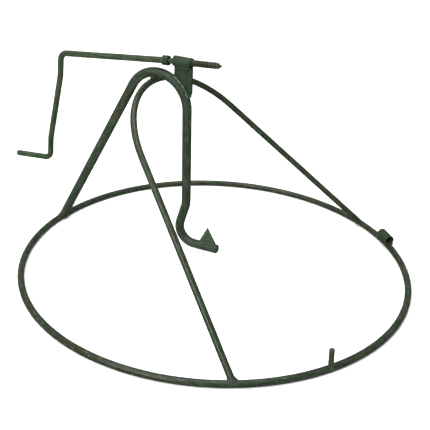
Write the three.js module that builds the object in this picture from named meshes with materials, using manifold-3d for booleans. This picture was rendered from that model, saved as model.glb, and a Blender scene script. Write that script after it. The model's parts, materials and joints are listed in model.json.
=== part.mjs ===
// Ring-base tree stand: a round bar ring on the floor, a heavy bent bar that ends in a spiked hook
// under the trunk, a slanting arch that braces it, and a crank with a pointed lag screw that is
// turned into the side of the trunk through a plain sleeve.
//
// Millimetres, +Z up. X runs along the screw, towards the trunk. The shapes are drawn about the
// ring's centre on the floor; the last lines move the origin to the middle of the footprint.

import * as THREE from 'three';
import { mergeVertices } from 'three/addons/utils/BufferGeometryUtils.js';
import Module from 'manifold-3d';

const wasm = await Module();
wasm.setup();

// ---------------------------------------------------------------- driving dimensions

const gap = 0.3;                    // between pieces that touch
const ringRadius = 250;             // centreline
const ringBar = 8.4;
const mainBar = 12;
const archBar = 8;
const crankBar = 8;
const pegBar = 6.3;

const legAngle = degrees(60.9);     // main bar's slanting leg, above the floor
const crownRadius = 42.2;           // bend over the top, centreline
const kink = { x: -46.8, z: 77 };   // where the post ends and the hook begins to lean back
const postLean = degrees(1.2);      // from upright, its top towards the leg
const heel = { x: -63, z: 20.2, radius: 21.5 };
const hookEnd = { x: 1.6, z: 22.8 };

const archFootAngle = degrees(58);  // round the ring from +X, to either side
const archLegAngle = degrees(68);   // in the arch's own plane
const archLean = degrees(44.8);     // of that plane, above the floor
const archTopRadius = 120;
const archSkew = 2.5;               // the legs' meeting point, off the middle towards the far side

const tube = { outer: 13, bore: 10.4, length: 24.4 }; // screw sleeve and socket alike
const sleeve = { x: -56.6, z: 262.7 };
const socketAngle = degrees(43.7);  // round the ring from +X
const socketSide = degrees(12);     // how far it sits inwards of the ring bar's top
const peg = { angle: degrees(-32.6), height: 29.6, lean: degrees(3.5) };

const plate = { thickness: 4, left: -67.9, right: -43.4, low: 226.5, toe: 220 };
const spike = { thickness: 3.2, apexX: -14.2, apexZ: 49.7, backX: -24.7, frontX: -1.4, shoulder: 0.8 };

// Welds: a fillet round a foot is a blob of the given half height; a bead is a run of the given width.
const fillet = { mainFoot: 8.2, archFoot: 6.2, peg: 5.4, alongRing: 1.35, acrossRing: 1.1, sink: 1.6 };
const archTopBlob = { along: 9, across: 10, high: 5.5, below: 1.5 };
const bead = { gusset: 5, sleeve: 4, spike: 3.6, socket: 5, inset: 0.9, shorter: 4, crank: 1 };

const screwTilt = degrees(4.1);     // the screw hangs a little crooked in its loose sleeve
const screw = { outer: 8.4, root: 6.8, shank: 6.8, pitch: 2.6, tip: 52.6, thread: 54.6, point: 6 };
const washer = { outer: 11.8, bore: 8.7, thickness: 1.1, face: -19.6 };
const head = { flats: 10.9, length: 3.4, bevel: 0.8, turn: degrees(18) };
const nut = { length: 3.3, bore: 8.6, slot: 0.9 }; // the slot is between nut and screw head

const crankTilt = degrees(6);       // the crank droops slightly more than the screw
const crank = { shaft: 159.7, stub: 31, middle: 94.4, handle: 59.4, bend: 11, easyBend: 26 };
const armLean = degrees(11.2);      // of the stubs, outwards from square
const armJoggle = degrees(8.2);     // extra lean of the stretch between them

const barSides = 12;
const beadSides = 8;
const turnedSides = 24;
const ballSides = 20;
const ballRows = 12;
const ringSteps = 96;
const bendError = 0.15;             // how far a bend's straight steps may cut inside its arc

// ---------------------------------------------------------------- derived places

const lift = ringBar / 2;           // ring bar's centre above the floor
const legTop = crossing({ x: -ringRadius, z: lift }, legAngle, kink, Math.PI / 2 + postLean);
const crown = crownCentre();
const archFoot = onRing(archFootAngle);
const archChord = new THREE.Vector3(archFoot.x, 0, lift);
const socketCentre = besideRing(socketAngle, Math.PI / 2 + socketSide, (ringBar + tube.outer) / 2 + gap);
const hookSlope = Math.atan2(hookEnd.z - heel.z, hookEnd.x - heel.x);
const headFace = washer.face - washer.thickness - gap;
const headBack = headFace - head.length;
const nutFace = headBack - nut.slot;
const nutBack = nutFace - nut.length;

function degrees(angle) {
  return THREE.MathUtils.degToRad(angle);
}

function onRing(angle) {
  return new THREE.Vector3(ringRadius * Math.cos(angle), ringRadius * Math.sin(angle), lift);
}

// A point at a distance from the ring bar's centre, in the direction given by an angle above
// straight outwards.
function besideRing(angle, direction, distance) {
  const radius = ringRadius + distance * Math.cos(direction);
  const z = lift + distance * Math.sin(direction);
  return new THREE.Vector3(radius * Math.cos(angle), radius * Math.sin(angle), z);
}

// Where two lines in the XZ plane cross, each given by a point on it and its angle above +X.
function crossing(first, firstAngle, second, secondAngle) {
  const apartX = second.x - first.x;
  const apartZ = second.z - first.z;
  const along = (apartX * Math.sin(secondAngle) - apartZ * Math.cos(secondAngle))
    / Math.sin(secondAngle - firstAngle);
  return { x: first.x + along * Math.cos(firstAngle), z: first.z + along * Math.sin(firstAngle) };
}

// The centre of the bend that joins the leg to the post.
function crownCentre() {
  const halfOpening = (Math.PI / 2 + postLean - legAngle) / 2;
  const downwards = legAngle + halfOpening - Math.PI;
  const distance = crownRadius / Math.sin(halfOpening);
  return {
    x: legTop.x + distance * Math.cos(downwards),
    z: legTop.z + distance * Math.sin(downwards),
  };
}

// ---------------------------------------------------------------- solids

function solid(geometry) {
  const bare = geometry.clone();
  bare.deleteAttribute('normal');
  bare.deleteAttribute('uv');
  const merged = mergeVertices(bare, 1e-4);
  return new wasm.Manifold(new wasm.Mesh({
    numProp: 3,
    vertProperties: new Float32Array(merged.attributes.position.array),
    triVerts: new Uint32Array(merged.index.array),
  }));
}

function surface(body) {
  const mesh = body.getMesh();
  const geometry = new THREE.BufferGeometry();
  geometry.setAttribute('position', new THREE.BufferAttribute(mesh.vertProperties, 3));
  geometry.setIndex(new THREE.BufferAttribute(mesh.triVerts, 1));
  geometry.computeVertexNormals();
  return geometry;
}

function cut(geometry, ...tools) {
  const body = tools.reduce((left, tool) => left.subtract(solid(tool)), solid(geometry));
  return surface(body);
}

function join(...geometries) {
  return surface(geometries.map(solid).reduce((whole, next) => whole.add(next)));
}

function common(first, second) {
  return surface(solid(first).intersect(solid(second)));
}

// A polygon whose flats, not corners, are the given distance apart, with a flat at the bottom.
function barPolygon(diameter, sides = barSides) {
  const corner = diameter / 2 / Math.cos(Math.PI / sides);
  return Array.from({ length: sides }, (_, i) => {
    const angle = (2 * Math.PI * (i + 0.5)) / sides;
    return new THREE.Vector2(corner * Math.cos(angle), corner * Math.sin(angle));
  });
}

// A bar's centreline: straight stretches between corners, each corner rounded to its radius.
// It has a station at each end and along each bend, and none along the straights.
class BentLine extends THREE.Curve {
  constructor(corners) {
    super();
    this.stations = [];
    const stretches = corners.slice(1).map(({ at }, i) => at.clone().sub(corners[i].at).normalize());
    corners.forEach(({ at, radius }, i) => {
      const arriving = stretches[Math.max(i - 1, 0)];
      const leaving = stretches[Math.min(i, stretches.length - 1)];
      this.addCorner(at, arriving, leaving, radius ?? 0);
    });
  }

  addCorner(at, arriving, leaving, radius) {
    const turn = arriving.angleTo(leaving);
    if (radius === 0 || turn < 1e-6) {
      this.stations.push({ point: at.clone(), tangent: leaving.clone() });
      return;
    }
    const side = leaving.clone().addScaledVector(arriving, -Math.cos(turn)).normalize();
    const start = at.clone().addScaledVector(arriving, -radius * Math.tan(turn / 2));
    const steps = Math.max(2, Math.ceil(turn / (2 * Math.acos(1 - bendError / radius))));
    for (let i = 0; i <= steps; i += 1) {
      const angle = (turn * i) / steps;
      const point = start.clone()
        .addScaledVector(arriving, radius * Math.sin(angle))
        .addScaledVector(side, radius * (1 - Math.cos(angle)));
      const tangent = arriving.clone().multiplyScalar(Math.cos(angle)).addScaledVector(side, Math.sin(angle));
      this.stations.push({ point, tangent });
    }
  }

  station(u) {
    return this.stations[Math.round(u * (this.stations.length - 1))];
  }

  getPointAt(u, target = new THREE.Vector3()) {
    return target.copy(this.station(u).point);
  }

  getPoint(t, target = new THREE.Vector3()) {
    return this.getPointAt(t, target);
  }

  getTangentAt(u, target = new THREE.Vector3()) {
    return target.copy(this.station(u).tangent);
  }

  getTangent(t, target = new THREE.Vector3()) {
    return this.getTangentAt(t, target);
  }
}

function sweepBar(line, diameter, sides = barSides) {
  return new THREE.ExtrudeGeometry(new THREE.Shape(barPolygon(diameter, sides)), {
    steps: line.stations.length - 1,
    extrudePath: line,
  });
}

// A solid of revolution about X, from a list of [x, radius] that starts and ends on the axis
// or goes round a hole.
function turned(profile, segments = turnedSides) {
  const points = profile.map(([x, radius]) => new THREE.Vector2(radius, x));
  const geometry = new THREE.LatheGeometry(points, segments);
  return geometry.rotateZ(-Math.PI / 2);
}

function rod(length, diameter, segments = turnedSides) {
  const radius = diameter / 2;
  const half = length / 2;
  return turned([[-half, 0], [-half, radius], [half, radius], [half, 0]], segments);
}

function pipe(length, outer, bore) {
  const half = length / 2;
  const corners = [[-half, bore], [-half, outer], [half, outer], [half, bore], [-half, bore]];
  return turned(corners.map(([x, diameter]) => [x, diameter / 2]));
}

function ball(radii, centre) {
  return new THREE.SphereGeometry(1, ballSides, ballRows).scale(...radii).translate(...centre.toArray());
}

function outline(points) {
  return new THREE.Shape(points.map(([x, z]) => new THREE.Vector2(x, z)));
}

// A flat plate in the XZ plane, its thickness centred on the given Y.
function flatPlate(shape, thickness, y = 0) {
  const geometry = new THREE.ExtrudeGeometry(shape, { depth: thickness, bevelEnabled: false });
  return geometry.rotateX(Math.PI / 2).translate(0, y + thickness / 2, 0);
}

// ---------------------------------------------------------------- centrelines

function inXZ(x, z, radius) {
  return { at: new THREE.Vector3(x, 0, z), radius };
}

// Foot on the ring, up the leg, over the crown, down the post, back to the heel and out as a hook.
const mainLine = new BentLine([
  inXZ(-ringRadius, lift),
  inXZ(legTop.x, legTop.z, crownRadius),
  inXZ(kink.x, kink.z, 3 * mainBar),
  inXZ(heel.x, heel.z, heel.radius),
  inXZ(hookEnd.x, hookEnd.z),
]);

function inArchPlane(across, up) {
  const back = up * Math.cos(archLean);
  return new THREE.Vector3(archChord.x - back, across, archChord.z + up * Math.sin(archLean));
}

const archLine = new BentLine([
  { at: inArchPlane(-archFoot.y, 0) },
  { at: inArchPlane(archSkew, archFoot.y * Math.tan(archLegAngle)), radius: archTopRadius },
  { at: inArchPlane(archFoot.y, 0) },
]);

// In the screw's own frame: x along the screw, z up, the origin at the middle of the sleeve.
function crankCorners() {
  const droop = crankTilt - screwTilt;
  const along = new THREE.Vector3(-Math.cos(droop), 0, -Math.sin(droop));
  const leaning = (angle) => along.clone().applyAxisAngle(new THREE.Vector3(0, 1, 0), angle - Math.PI / 2);
  const stretches = [
    { direction: along, length: crank.shaft, radius: crank.bend },
    { direction: leaning(armLean), length: crank.stub, radius: crank.easyBend },
    { direction: leaning(armLean + armJoggle), length: crank.middle, radius: crank.easyBend },
    { direction: leaning(armLean), length: crank.stub, radius: crank.bend },
    { direction: along, length: crank.handle },
  ];
  const corners = [{ at: new THREE.Vector3(headBack - gap, 0, 0) }];
  for (const { direction, length, radius } of stretches) {
    const at = corners.at(-1).at.clone().addScaledVector(direction, length);
    corners.push({ at, radius });
  }
  return corners;
}

const crankLine = new BentLine(crankCorners());

// ---------------------------------------------------------------- bars

function ringGeometry(diameter = ringBar) {
  const section = barPolygon(diameter).map((p) => new THREE.Vector2(ringRadius + p.x, lift + p.y));
  section.push(section[0].clone());
  return new THREE.LatheGeometry(section, ringSteps).rotateX(Math.PI / 2);
}

const nearRing = ringGeometry(ringBar + 2 * gap);
const nearMainBar = sweepBar(mainLine, mainBar + 2 * gap);
const nearArchBar = sweepBar(archLine, archBar + 2 * gap);

function mainBarGeometry() {
  return cut(sweepBar(mainLine, mainBar), nearRing);
}

function archBarGeometry() {
  return cut(sweepBar(archLine, archBar), nearRing);
}

// ---------------------------------------------------------------- fittings on the main bar

function sleeveGeometry() {
  return pipe(tube.length, tube.outer, tube.bore).translate(sleeve.x, 0, sleeve.z);
}

const nearSleeve = rod(tube.length + 2 * gap, tube.outer + 2 * gap).translate(sleeve.x, 0, sleeve.z);

function gussetGeometry() {
  const top = sleeve.z - tube.bore / 2;
  const heightOnCrown = crown.z + Math.sqrt(crownRadius ** 2 - (plate.left - crown.x) ** 2);
  const shape = outline([
    [plate.left, top],
    [plate.left, heightOnCrown],
    [plate.right - mainBar / 2, plate.toe],
    [plate.right - plate.thickness / 2, plate.toe],
    [plate.right, plate.low],
    [plate.right, top],
  ]);
  return cut(flatPlate(shape, plate.thickness), nearSleeve, nearMainBar);
}

function hookTop(x) {
  return hookEnd.z + Math.tan(hookSlope) * (x - hookEnd.x) + mainBar / 2;
}

// A pointed plate that stands along the top of the hook.
function spikeGeometry() {
  const shape = outline([
    [spike.apexX, spike.apexZ],
    [spike.backX, hookTop(spike.backX) + spike.shoulder],
    [spike.backX, hookTop(spike.backX) - mainBar / 2],
    [spike.frontX, hookTop(spike.frontX) - mainBar / 2],
    [spike.frontX, hookTop(spike.frontX) + spike.shoulder],
  ]);
  return cut(flatPlate(shape, spike.thickness), nearMainBar);
}

// ---------------------------------------------------------------- fittings on the ring

function placeOnRing(geometry, angle, centre) {
  return geometry.rotateZ(angle + Math.PI / 2).translate(centre.x, centre.y, centre.z);
}

function socketGeometry() {
  return placeOnRing(pipe(tube.length, tube.outer, tube.bore), socketAngle, socketCentre);
}

function pegRod(diameter) {
  const base = onRing(peg.angle).setZ(0);
  const length = peg.height;
  const upright = rod(length, diameter, barSides).rotateY(-Math.PI / 2).translate(0, 0, length / 2);
  const sideways = new THREE.Vector3(Math.cos(peg.angle), Math.sin(peg.angle), 0);
  const lean = new THREE.Matrix4().makeRotationAxis(sideways, peg.lean);
  return upright.applyMatrix4(lean).translate(base.x, base.y, 0);
}

function pegGeometry() {
  return common(cut(pegRod(pegBar), nearRing), aboveRing());
}

// The half space above the ring bar's middle, as a large slab.
function aboveRing() {
  const side = 3 * ringRadius;
  return new THREE.BoxGeometry(side, side, side).translate(0, 0, lift + side / 2);
}

// ---------------------------------------------------------------- weld beads

const nearPeg = pegRod(pegBar + 2 * gap);

// The fillet where a slanting bar stands on the ring.
function footWeld(angle, height, nearBar) {
  const blob = ball([height * fillet.alongRing, height * fillet.acrossRing, height], new THREE.Vector3());
  const centre = onRing(angle).setZ(ringBar - fillet.sink);
  return common(cut(placeOnRing(blob, angle, centre), nearRing, nearBar), aboveRing());
}

function archTopWeld() {
  const apex = archLine.stations[Math.floor(archLine.stations.length / 2)].point;
  const outwards = new THREE.Vector3(apex.x - crown.x, 0, apex.z - crown.z);
  const middle = new THREE.Vector3(crown.x, 0, crown.z)
    .addScaledVector(outwards.normalize(), crownRadius - mainBar / 2 - archTopBlob.below);
  const { along, across, high } = archTopBlob;
  return cut(ball([along, across, high], middle), nearMainBar, nearArchBar);
}

const nearPlate = flatPlate(
  outline([[-ringRadius, 0], [0, 0], [0, ringRadius + mainBar * 2], [-ringRadius, ringRadius + mainBar * 2]]),
  plate.thickness + 2 * gap,
);

// A bead along the crown's outer side, in the corner between bar and gusset plate.
function gussetWeld(side) {
  const radius = crownRadius + mainBar / 2;
  const start = Math.acos((plate.left - crown.x) / radius);
  const end = Math.asin((plate.toe - crown.z) / radius);
  const y = side * (plate.thickness / 2 + bead.inset);
  const steps = 8;
  const line = new BentLine(Array.from({ length: steps + 1 }, (_, i) => {
    const angle = THREE.MathUtils.lerp(start, end, i / steps);
    const [across, up] = [radius * Math.cos(angle), radius * Math.sin(angle)];
    return { at: new THREE.Vector3(crown.x + across, y, crown.z + up) };
  }));
  return cut(sweepBar(line, bead.gusset, beadSides), nearMainBar, nearPlate);
}

function sleeveWeld(side) {
  const y = side * (plate.thickness / 2 + bead.inset);
  const run = rod(tube.length - bead.shorter, bead.sleeve, beadSides);
  return cut(run.translate(sleeve.x, y, sleeve.z - tube.outer / 2), nearSleeve, nearPlate);
}

// A bead along the top of the hook bar, in the corner against the spike plate.
function spikeWeld(side) {
  const middleX = (spike.backX + spike.frontX) / 2;
  const y = side * (spike.thickness / 2 + bead.inset);
  const run = rod(spike.frontX - spike.backX, bead.spike, beadSides).rotateY(-hookSlope);
  const nearSpike = new THREE.BoxGeometry(ringRadius, spike.thickness + 2 * gap, ringRadius);
  return cut(run.translate(middleX, y, hookTop(middleX)), nearMainBar, nearSpike);
}

function socketWeld(side) {
  const scale = 1 + (side * ringBar) / 2 / ringRadius;
  const centre = onRing(socketAngle).multiplyScalar(scale).setZ(ringBar);
  const nearTube = placeOnRing(rod(tube.length + 2 * gap, tube.outer + 2 * gap), socketAngle, socketCentre);
  const run = rod(tube.length - bead.shorter, bead.socket, beadSides);
  return cut(placeOnRing(run, socketAngle, centre), nearRing, nearTube);
}

function pegWeld() {
  const centre = onRing(peg.angle).setZ(ringBar - fillet.sink);
  return common(cut(ball([fillet.peg, fillet.peg, fillet.peg], centre), nearRing, nearPeg), aboveRing());
}

// ---------------------------------------------------------------- screw and crank

function hexagon(length, bore) {
  const corner = head.flats / 2 / Math.cos(Math.PI / 6);
  const prism = new THREE.CylinderGeometry(corner, corner, length, 6).rotateZ(Math.PI / 2).rotateX(head.turn);
  const half = length / 2;
  const flat = half - head.bevel;
  const rounding = turned([
    [-half, 0], [-half, corner - head.bevel], [-flat, corner + gap],
    [flat, corner + gap], [half, corner - head.bevel], [half, 0],
  ]);
  const blank = common(prism, rounding);
  return bore ? cut(blank, rod(2 * length, bore)) : blank;
}

// The threaded stretch and its cone point: one crest winds along it, once for each pitch.
function threadGeometry() {
  const rowsPerTurn = 4;
  const sides = 14;
  const bluntness = 0.12;
  const rows = Math.round((screw.thread / screw.pitch) * rowsPerTurn);
  const geometry = new THREE.CylinderGeometry(1, 1, screw.thread, sides, rows);
  geometry.rotateZ(-Math.PI / 2).translate(screw.tip - screw.thread / 2, 0, 0);
  const place = geometry.attributes.position;
  for (let i = 0; i < place.count; i += 1) {
    const [x, y, z] = [place.getX(i), place.getY(i), place.getZ(i)];
    const wave = Math.cos(2 * Math.PI * (x / screw.pitch) - Math.atan2(z, y));
    const toTip = Math.min(1, (screw.tip - x) / screw.point + bluntness);
    const diameter = THREE.MathUtils.lerp(screw.root, screw.outer, 0.5 + 0.5 * wave) * toTip;
    place.setXYZ(i, x, (y * diameter) / 2, (z * diameter) / 2);
  }
  return geometry;
}

function lagScrewGeometry() {
  const shankEnd = screw.tip - screw.thread + screw.pitch / 2;
  const shankStart = headFace - head.bevel;
  const shank = rod(shankEnd - shankStart, screw.shank).translate((shankEnd + shankStart) / 2, 0, 0);
  const hexHead = hexagon(head.length).translate(headFace - head.length / 2, 0, 0);
  return join(threadGeometry(), shank, hexHead);
}

function washerGeometry() {
  const middle = washer.face - washer.thickness / 2;
  return pipe(washer.thickness, washer.outer, washer.bore).translate(middle, 0, 0);
}

function nutGeometry() {
  return hexagon(nut.length, nut.bore).translate(nutFace - nut.length / 2, 0, 0);
}

function crankWeld() {
  const start = nutBack - gap;
  const end = start - bead.crank;
  const wide = crankBar / 2 + bead.crank;
  const narrow = crankBar / 2 + bead.crank / 2;
  const nearCrank = sweepBar(crankLine, crankBar + 2 * gap);
  return cut(turned([[end, 0], [end, narrow], [start, wide], [start, 0]]), nearCrank);
}

// ---------------------------------------------------------------- the assembly

function paint(colour, roughness = 0.42, metalness = 0.1) {
  return new THREE.MeshStandardMaterial({ color: colour, roughness, metalness });
}

function named(name, geometry, material) {
  const mesh = new THREE.Mesh(geometry, material);
  mesh.name = name;
  return mesh;
}

const barGreen = 0x39463a;
const weldGreen = 0x45604c;

const frame = new THREE.Group();
frame.add(
  named('base_ring', ringGeometry(), paint(barGreen)),
  named('main_bar', mainBarGeometry(), paint(0x37483c)),
  named('arch_bar', archBarGeometry(), paint(0x3a4838)),
  named('screw_sleeve', sleeveGeometry(), paint(0x3f4d3d)),
  named('gusset_plate', gussetGeometry(), paint(0x33463a)),
  named('spike_plate', spikeGeometry(), paint(0x46543f)),
  named('socket_tube', socketGeometry(), paint(0x3d4a3c)),
  named('peg', pegGeometry(), paint(barGreen)),
  named('weld_main_foot', footWeld(Math.PI, fillet.mainFoot, nearMainBar), paint(weldGreen, 0.5)),
  named('weld_arch_foot_near', footWeld(-archFootAngle, fillet.archFoot, nearArchBar), paint(weldGreen, 0.5)),
  named('weld_arch_foot_far', footWeld(archFootAngle, fillet.archFoot, nearArchBar), paint(weldGreen, 0.5)),
  named('weld_arch_top', archTopWeld(), paint(weldGreen, 0.5)),
  named('weld_gusset_near', gussetWeld(-1), paint(weldGreen, 0.5)),
  named('weld_gusset_far', gussetWeld(1), paint(weldGreen, 0.5)),
  named('weld_sleeve_near', sleeveWeld(-1), paint(weldGreen, 0.5)),
  named('weld_sleeve_far', sleeveWeld(1), paint(weldGreen, 0.5)),
  named('weld_spike_near', spikeWeld(-1), paint(weldGreen, 0.5)),
  named('weld_spike_far', spikeWeld(1), paint(weldGreen, 0.5)),
  named('weld_socket_inner', socketWeld(-1), paint(weldGreen, 0.5)),
  named('weld_socket_outer', socketWeld(1), paint(weldGreen, 0.5)),
  named('weld_peg', pegWeld(), paint(weldGreen, 0.5)),
);

const screwGroup = new THREE.Group();
screwGroup.add(
  named('washer', washerGeometry(), paint(0x4a4a3c, 0.45, 0.8)),
  named('lag_screw', lagScrewGeometry(), paint(0x4b4a36, 0.5, 0.7)),
  named('crank_nut', nutGeometry(), paint(0x3f5140)),
  named('crank_rod', sweepBar(crankLine, crankBar), paint(0x37482f)),
  named('weld_crank', crankWeld(), paint(weldGreen, 0.5)),
);
screwGroup.rotation.y = -screwTilt;
screwGroup.position.set(sleeve.x, 0, sleeve.z);

const stand = new THREE.Group();
stand.add(frame, screwGroup);

// The origin is on the floor, at the middle of the rectangle that the stand covers.
const extent = new THREE.Box3().setFromObject(stand, true);
stand.position.x = -(extent.min.x + extent.max.x) / 2;
stand.updateMatrixWorld(true);

export default stand;
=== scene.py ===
"""Looks for the ring-base tree stand: smooth bars, rippled welds, a cut thread with painted shade in its
valleys, and worn green enamel with painted glints.
"""
import json
import math

import bmesh
import bpy
import numpy as np
from mathutils import Matrix, Vector, noise


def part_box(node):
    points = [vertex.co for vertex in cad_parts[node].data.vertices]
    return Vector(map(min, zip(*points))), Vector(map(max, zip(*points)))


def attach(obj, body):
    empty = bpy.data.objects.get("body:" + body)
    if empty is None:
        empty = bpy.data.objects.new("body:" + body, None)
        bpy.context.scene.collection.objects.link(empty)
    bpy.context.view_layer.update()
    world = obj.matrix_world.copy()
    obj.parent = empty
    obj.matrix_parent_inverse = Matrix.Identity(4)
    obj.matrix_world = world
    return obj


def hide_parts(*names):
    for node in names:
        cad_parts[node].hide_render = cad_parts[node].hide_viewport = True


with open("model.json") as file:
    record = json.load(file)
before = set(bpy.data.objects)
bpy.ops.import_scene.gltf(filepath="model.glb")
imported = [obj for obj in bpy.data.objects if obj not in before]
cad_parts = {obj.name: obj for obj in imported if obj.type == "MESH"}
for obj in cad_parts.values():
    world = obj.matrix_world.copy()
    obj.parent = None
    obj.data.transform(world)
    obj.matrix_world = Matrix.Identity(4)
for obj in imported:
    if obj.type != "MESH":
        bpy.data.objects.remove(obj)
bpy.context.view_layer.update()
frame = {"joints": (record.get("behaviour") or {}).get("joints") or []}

# ---------------------------------------------------------------- sizes, in millimetres

MM = 0.001  # metres
RING_BAR = 8.4
MAIN_BAR = 12.0
ARCH_BAR = 8.0
CRANK_BAR = 8.0
PEG_BAR = 6.3
RING_RADIUS = 250.0

LEG_ANGLE = math.radians(60.9)
POST_LEAN = math.radians(1.2)
CROWN_RADIUS = 42.2
KINK = (-46.8, 77.0)
HEEL = (-63.0, 20.2)
HEEL_RADIUS = 21.5
HOOK_END = (1.6, 22.8)

ARCH_FOOT_ANGLE = math.radians(58)
ARCH_LEG_ANGLE = math.radians(68)
ARCH_LEAN = math.radians(44.8)
ARCH_TOP_RADIUS = 120.0
ARCH_SKEW = 2.5

TUBE_OUTER = 13.0
TUBE_BORE = 10.4
TUBE_LENGTH = 24.4
SOCKET_ANGLE = math.radians(43.7)
PEG_ANGLE = math.radians(-32.6)
PEG_HEIGHT = 29.6
PEG_LEAN = math.radians(3.5)

PLATE = {"thickness": 4.0, "left": -67.9, "right": -43.4, "low": 226.5, "toe": 220.0}
SPIKE = {"thickness": 3.2, "apex": (-14.2, 49.7), "back": -24.7, "front": -1.4, "shoulder": 0.8, "rooted": 2}

# The thread's flank is the share of the pitch over which its ridge falls from crest to root, and the crest
# is flat for the given share of a flank to either side of its middle.
THREAD = {"outer": 8.4, "root": 5.2, "shank": 6.8, "pitch": 2.6, "tip": 52.6, "length": 54.6, "point": 6.5,
          "flank": 0.28, "flat": 0.2, "run_in": 3, "bluntness": 0.75}
WASHER = {"outer": 11.8, "bore": 8.7, "thickness": 1.1, "face": -19.6}
HEAD = {"flats": 10.9, "length": 3.4, "turn": math.radians(18), "chamfer": math.radians(62)}
NUT = {"length": 3.3, "bore": 8.6, "slot": 0.9}
TOUCH = 0.3         # between pieces that only touch
FLOOR_CLEAR = 0.02  # how far the lowest skin stays above the floor

CRANK_DROOP = math.radians(6.0 - 4.1)
ARM_LEAN = math.radians(11.2)
ARM_JOGGLE = math.radians(8.2)
CRANK_STRETCHES = {"shaft": 159.7, "stub": 31.0, "middle": 94.4, "handle": 59.4}
CRANK_BEND = 11.0
CRANK_EASY_BEND = 26.0

BAR_SIDES = 40
BEND_STEP = math.radians(3)
STRAIGHT_STEP = 5.0
WAVE_LENGTH = 14.0  # of the slight unevenness of bent bar

LIFT = RING_BAR / 2
ring_low, ring_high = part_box("base_ring")
RING_X = (ring_low.x + ring_high.x) / 2 / MM
SLEEVE = sum(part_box("screw_sleeve"), Vector()) / 2 / MM - Vector((RING_X, 0, 0))
SOCKET = sum(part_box("socket_tube"), Vector()) / 2 / MM - Vector((RING_X, 0, 0))
UP = Vector((0, 0, 1))
ACROSS = Vector((0, 1, 0))


# ---------------------------------------------------------------- paths

def in_xz(x, z):
    return Vector((x, 0, z))


def on_ring(angle, z=LIFT, radius=RING_RADIUS):
    return Vector((radius * math.cos(angle), radius * math.sin(angle), z))


def bent_path(corners):
    """Points along a bar's centreline: straight stretches, with each inner corner rounded to its radius."""
    points = [corners[0][0]]
    for before, (corner, radius), after in zip(corners, corners[1:], corners[2:]):
        arriving = (corner - before[0]).normalized()
        leaving = (after[0] - corner).normalized()
        turn = arriving.angle(leaving)
        start = corner - arriving * radius * math.tan(turn / 2)
        inwards = (leaving - arriving * math.cos(turn)).normalized()
        add_straight(points, start)
        steps = max(3, math.ceil(turn / BEND_STEP))
        for i in range(1, steps + 1):
            angle = turn * i / steps
            bend = arriving * math.sin(angle) + inwards * (1 - math.cos(angle))
            points.append(start + bend * radius)
    add_straight(points, corners[-1][0])
    return points


def add_straight(points, end):
    start = points[-1].copy()
    steps = max(1, round((end - start).length / STRAIGHT_STEP))
    for i in range(1, steps + 1):
        points.append(start.lerp(end, i / steps))


def crossing(first, first_angle, second, second_angle):
    """Where two lines in the XZ plane cross, each given by a point on it and its angle above +X."""
    apart = (second[0] - first[0], second[1] - first[1])
    along = apart[0] * math.sin(second_angle) - apart[1] * math.cos(second_angle)
    along /= math.sin(second_angle - first_angle)
    return first[0] + along * math.cos(first_angle), first[1] + along * math.sin(first_angle)


LEG_TOP = crossing((-RING_RADIUS, LIFT), LEG_ANGLE, KINK, math.pi / 2 + POST_LEAN)
half_opening = (math.pi / 2 + POST_LEAN - LEG_ANGLE) / 2
CROWN = in_xz(*LEG_TOP) + in_xz(
    math.cos(LEG_ANGLE + half_opening - math.pi), math.sin(LEG_ANGLE + half_opening - math.pi)
) * (CROWN_RADIUS / math.sin(half_opening))
HOOK_DIRECTION = (in_xz(*HOOK_END) - in_xz(*HEEL)).normalized()

main_path = bent_path([
    (in_xz(-RING_RADIUS, LIFT), 0),
    (in_xz(*LEG_TOP), CROWN_RADIUS),
    (in_xz(*KINK), 3 * MAIN_BAR),
    (in_xz(*HEEL), HEEL_RADIUS),
    (in_xz(*HOOK_END), 0),
])

# The leg's end is drawn up into the ring bar, so that the thicker bar stays clear of the floor.
LEG_CUT = 3.5
leg_direction = (main_path[1] - main_path[0]).normalized()
main_path[0] += leg_direction * LEG_CUT

arch_foot = on_ring(ARCH_FOOT_ANGLE)


def in_arch_plane(across, up):
    return Vector((arch_foot.x - up * math.cos(ARCH_LEAN), across, LIFT + up * math.sin(ARCH_LEAN)))


arch_path = bent_path([
    (in_arch_plane(-arch_foot.y, 0), 0),
    (in_arch_plane(ARCH_SKEW, arch_foot.y * math.tan(ARCH_LEG_ANGLE)), ARCH_TOP_RADIUS),
    (in_arch_plane(arch_foot.y, 0), 0),
])


def crank_corners():
    """The crank's corners in the screw's own frame: X along the screw, the origin in the sleeve's middle."""
    along = Vector((-math.cos(CRANK_DROOP), 0, -math.sin(CRANK_DROOP)))
    stub = Matrix.Rotation(ARM_LEAN - math.pi / 2, 3, "Y") @ along
    middle = Matrix.Rotation(ARM_LEAN + ARM_JOGGLE - math.pi / 2, 3, "Y") @ along
    stretches = [
        (along, "shaft", CRANK_BEND),
        (stub, "stub", CRANK_EASY_BEND),
        (middle, "middle", CRANK_EASY_BEND),
        (stub, "stub", CRANK_BEND),
        (along, "handle", 0),
    ]
    corners = [(Vector((HEAD_BACK - TOUCH, 0, 0)), 0)]
    for direction, stretch, radius in stretches:
        corners.append((corners[-1][0] + direction * CRANK_STRETCHES[stretch], radius))
    return corners


HEAD_FACE = WASHER["face"] - WASHER["thickness"] - TOUCH
HEAD_BACK = HEAD_FACE - HEAD["length"]
NUT_FACE = HEAD_BACK - NUT["slot"]
NUT_BACK = NUT_FACE - NUT["length"]
crank_path = bent_path(crank_corners())

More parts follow.
